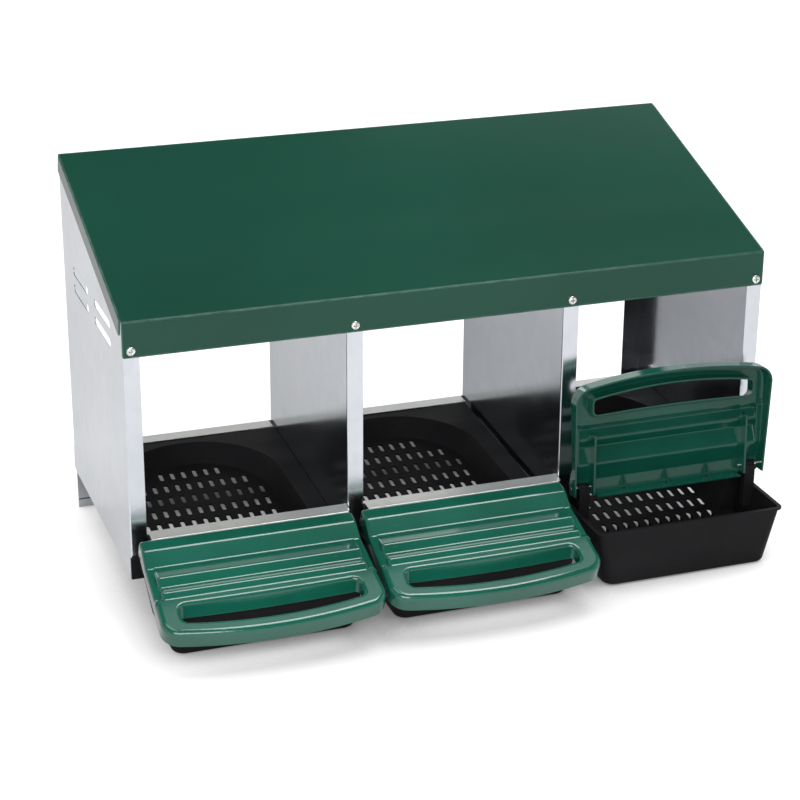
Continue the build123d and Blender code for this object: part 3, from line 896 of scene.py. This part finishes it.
@dataclass
class PaintedRoof(SubAssembly):
    """The one painted sheet that covers the bays."""

    sheet: str = "roof"
    finish: Finish = ROOF_PAINT

    def finishes(self) -> dict[str, Finish]:
        """Names the finish of the roof."""
        return {self.sheet: self.finish}


@dataclass
class EggUnit(SubAssembly):
    """One bay's nest tray with its trough, its lid and the pins that the lid turns on."""

    bay: Bay
    stand: LidStand = LidStand.SHUT
    tray_finish: Finish = TRAY_PLASTIC
    pin_finish: Finish = ZINC_PLATE

    def finishes(self) -> dict[str, Finish]:
        """Names the finish of tray, lid and pins.

        Returns:
            A finish for each node's name.
        """
        return {
            self.bay.value + "_nest_tray": self.tray_finish,
            self.bay.value + "_egg_lid": LID_PLASTICS[self.stand],
            self.bay.value + "_hinge_pins": self.pin_finish,
        }


@dataclass
class Fixings(SubAssembly):
    """The rows of screws and nuts that hold roof and rail."""

    rows: tuple[str, ...] = ("roof_front", "roof_rear", "rear_rail")
    kinds: tuple[str, ...] = ("_screws", "_nuts")
    finish: Finish = ZINC_PLATE

    def finishes(self) -> dict[str, Finish]:
        """Names the finish of each row."""
        return {row + kind: self.finish for row in self.rows for kind in self.kinds}


@dataclass
class Lamp:
    """A soft box that looks at a point, with its first side level."""

    name: str
    place: Point
    target: Point
    size: Span
    power: float

    def build(self) -> None:
        """Makes the lamp."""
        light = bpy.data.lights.new(self.name, "AREA")
        light.shape = "RECTANGLE"
        light.size, light.size_y = self.size
        light.energy = self.power
        lamp = bpy.data.objects.new(self.name, light)
        lamp.location = self.place
        back = (Vector(self.place) - Vector(self.target)).normalized()
        side = Vector((1.0, 0.0, 0.0))
        side = (side - side.dot(back) * back).normalized()
        lamp.rotation_euler = Matrix((side, back.cross(side), back)).transposed().to_euler()
        bpy.context.scene.collection.objects.link(lamp)


@dataclass
class Surround:
    """The white space round the floor, which shiny pieces see as darker overhead and in front.

    The bands are heights and depths of the way that a ray goes, from -1 to 1.
    """

    name: str = "studio_surround"
    ambient: float = 0.15
    overhead_loss: float = 0.9
    overhead_band: Span = (0.3, 0.7)
    front_loss: float = 0.9
    front_band: Span = (-0.6, -0.1)
    front_rise: Span = (0.0, 0.25)

    def build(self) -> None:
        """Makes the surround, white where it is seen and dim where it only lights."""
        world = bpy.data.worlds.new(self.name)
        world.use_nodes = True
        world.node_tree.nodes.clear()
        wires = Wiring(world.node_tree)
        path = wires.place("LightPath").outputs
        seen = wires.calc("MAXIMUM", path["Is Camera Ray"], path["Is Glossy Ray"])
        seen = wires.calc("MAXIMUM", seen, path["Is Transmission Ray"])
        strength = wires.remap(seen, RISING, (self.ambient, 1.0))
        place = wires.place("TexCoord").outputs["Generated"]
        way = wires.place("SeparateXYZ", {"Vector": place}).outputs
        above = wires.remap(way["Z"], self.overhead_band, (0.0, self.overhead_loss))
        before = wires.remap(way["Y"], self.front_band, (self.front_loss, 0.0))
        rise = wires.remap(way["Z"], self.front_rise, RISING)
        loss = wires.calc("MAXIMUM", above, wires.calc("MULTIPLY", before, rise))
        loss = wires.calc("MULTIPLY", loss, path["Is Glossy Ray"])
        strength = wires.calc("MULTIPLY", strength, wires.calc("SUBTRACT", 1.0, loss))
        light = wires.place("Background", {"Color": WHITE, "Strength": strength})
        wires.place("OutputWorld", {"Surface": light.outputs["Background"]})
        bpy.context.scene.world = world


@dataclass
class Floor:
    """A pale floor that keeps the shadow and is white away from the box.

    Seen directly it has its own colour and glow, with painted shade close to the box and
    behind the trays. Other pieces see and get the light of a plain floor with painted shade
    towards the back, close to the box and behind the trays; reflections also see it glow.
    """

    name: str = "studio_floor"
    reach: float = 40.0
    plain: Colour = tone(226, 226, 226)
    # painted shadow: the floor's colour towards the back, as other pieces see it
    shaded: Colour = tone(174, 174, 176)
    shade_centre: Point = (0.3, 0.8, 0.0)
    shade_band: Span = (0.1, 1.05)
    # painted light: a glow that only reflections see, less in the painted shade
    mirror_glow: float = 0.33
    shown: Colour = tone(160, 160, 160)
    # a glow that follows ambient occlusion, so that its lack paints shade close to the box
    near_glow: Span = (0.1, 0.7)
    far_glow: float = 0.34
    far_band: Span = (0.34, 0.62)
    contact_reach: float = 0.12
    contact_band: Span = (0.2, 0.75)
    contact_kept: float = 0.3
    contact_samples: int = 8
    # painted shadow: a dark patch under and behind the trays
    rear_shadow_colour: Colour = tone(100, 100, 101)
    rear_centre: Point = (0.0, 0.32, 0.0)
    rear_half: Point = (0.34, 0.1, 0.0)
    rear_fade: Span = (0.0, 0.06)
    rear_kept: float = 0.1

    @staticmethod
    def lit_ground(wires: Wiring, colour: Feed, glow: Feed) -> bpy.types.NodeSocket:
        """Lays a matt colour that also glows.

        Args:
            wires: The floor's tree.
            colour: The matt colour, which takes the shadow.
            glow: The strength of its own white light.

        Returns:
            The shader's socket.
        """
        matt = wires.place("BsdfDiffuse", {"Color": colour})
        light = wires.place("Emission", {"Color": WHITE, "Strength": glow})
        both = wires.place("AddShader", {0: matt.outputs["BSDF"], 1: light.outputs["Emission"]})
        return both.outputs["Shader"]

    def rear_shade(self, wires: Wiring, place: bpy.types.NodeSocket) -> bpy.types.NodeSocket:
        """Gives the share of its light that the floor keeps in the painted shadow behind the
        trays.

        Args:
            wires: The floor's tree.
            place: The place on the floor.

        Returns:
            A socket that is 1 away from the shade.
        """
        offset = wires.calc_vector("SUBTRACT", place, self.rear_centre)
        side = wires.calc_vector("ABSOLUTE", offset)
        past = wires.calc_vector("SUBTRACT", side, self.rear_half)
        out = wires.calc_vector("MAXIMUM", past, (0.0, 0.0, 0.0))
        distance = wires.calc_vector("LENGTH", out)
        return wires.remap(distance, self.rear_fade, (self.rear_kept, 1.0))

    def wire(self, wires: Wiring) -> None:
        """Lays the floor's finish.

        Args:
            wires: The floor's tree.
        """
        path = wires.place("LightPath").outputs
        place = wires.place("TexCoord").outputs["Object"]
        kept = self.rear_shade(wires, place)
        contact = {"Distance": self.contact_reach}
        sky = wires.place("AmbientOcclusion", contact, samples=self.contact_samples).outputs["AO"]

        # painted shade close to the box: less glow where the floor is shut in
        near = wires.remap(sky, self.contact_band, self.near_glow)
        far = wires.remap(wires.calc_vector("LENGTH", place), self.far_band, (0.0, self.far_glow))
        glow = wires.calc("MULTIPLY", wires.calc("ADD", near, far), kept)
        shown = self.lit_ground(wires, wires.blend(kept, self.rear_shadow_colour, self.shown), glow)

        # painted shade towards the back and close to the box, in what other pieces see
        away = wires.calc_vector("DISTANCE", place, self.shade_centre)
        clear = wires.remap(away, self.shade_band, RISING)
        close = wires.remap(sky, self.contact_band, (self.contact_kept, 1.0))
        clear = wires.calc("MULTIPLY", clear, close)
        matt = wires.blend(clear, self.shaded, self.plain)
        matt = wires.blend(kept, self.rear_shadow_colour, matt)
        mirrored = wires.calc("MULTIPLY", clear, self.mirror_glow)
        mirrored = wires.calc("MULTIPLY", mirrored, path["Is Glossy Ray"])
        ground = self.lit_ground(wires, matt, wires.calc("MULTIPLY", mirrored, kept))

        direct = wires.calc("MAXIMUM", path["Is Camera Ray"], path["Is Transmission Ray"])
        both = wires.place("MixShader", {0: direct, 1: ground, 2: shown})
        wires.place("OutputMaterial", {"Surface": both.outputs["Shader"]})

    def build(self) -> None:
        """Makes the floor."""
        mesh = bpy.data.meshes.new(self.name)
        far = self.reach
        corners = [(-far, -far, 0), (far, -far, 0), (far, far, 0), (-far, far, 0)]
        mesh.from_pydata(corners, [], [(0, 1, 2, 3)])
        made = bpy.data.materials.new(self.name)
        made.use_nodes = True
        made.node_tree.nodes.clear()
        self.wire(Wiring(made.node_tree))
        mesh.materials.append(made)
        floor = bpy.data.objects.new(self.name, mesh)
        bpy.context.scene.collection.objects.link(floor)


@dataclass
class CameraStand:
    """The camera, at the front left and above the roof. Angles are in degrees."""

    name: str = "studio_camera"
    place: Point = (-0.9121, -2.4452, 1.2771)
    yaw: float = 19.538
    pitch: float = 22.311
    roll: float = 0.382
    lens: float = 97.21
    sensor: float = 36.0
    sight: float = 160.0

    def build(self) -> None:
        """Makes the camera and looks through it."""
        data = bpy.data.cameras.new(self.name)
        data.sensor_width = self.sensor
        data.lens = self.lens
        data.clip_end = self.sight
        camera = bpy.data.objects.new(self.name, data)
        turn = Matrix.Rotation(-math.radians(self.yaw), 4, "Z")
        tilt = Matrix.Rotation(math.radians(90 - self.pitch), 4, "X")
        roll = Matrix.Rotation(math.radians(self.roll), 4, "Z")
        camera.matrix_world = Matrix.Translation(self.place) @ turn @ tilt @ roll
        bpy.context.scene.collection.objects.link(camera)
        bpy.context.scene.camera = camera


@dataclass
class Studio:
    """A pale floor in a white surround, the camera and soft lamps."""

    surround: Surround = field(default_factory=Surround)
    floor: Floor = field(default_factory=Floor)
    camera: CameraStand = field(default_factory=CameraStand)
    lamps: tuple[Lamp, ...] = (
        Lamp(
            "overhead_box",
            place=(1.1, -0.2, 4.2),
            target=(0.8, -0.2, 0.0),
            size=(1.5, 2.1),
            power=83.0,
        ),
        Lamp(
            "fill_box",
            place=(-1.0, -0.2, 4.2),
            target=(-0.4, -0.2, 0.0),
            size=(1.6, 2.1),
            power=30.0,
        ),
        Lamp(
            "sheen_panel",
            place=(0.9, 1.07, 3.4),
            target=(-0.1, -0.2, 0.1),
            size=(2.0, 0.9),
            power=5.6,
        ),
        Lamp(
            "rear_box",
            place=(2.2, 2.6, 2.2),
            target=(0.2, 0.1, 0.4),
            size=(2.6, 1.8),
            power=8.0,
        ),
        Lamp(
            "front_box",
            place=(-1.2, -3.2, 1.7),
            target=(0.0, 0.0, 0.15),
            size=(2.6, 1.6),
            power=91.0,
        ),
    )

    def build(self) -> None:
        """Makes the whole studio and reports its parts."""
        for part in (self.surround, self.floor, self.camera, *self.lamps):
            part.build()
            log.info("built %s", part.name)
        bpy.context.scene.view_settings.view_transform = "Standard"


def main() -> None:
    """Dresses the box and builds the studio."""
    eggs = (EggUnit(Bay.LEFT), EggUnit(Bay.MIDDLE), EggUnit(Bay.RIGHT, LidStand.OPEN))
    for group in (SheetCase(), PaintedRoof(), *eggs, Fixings()):
        group.dress()
    Studio().build()


if __name__ == "__main__":
    main()
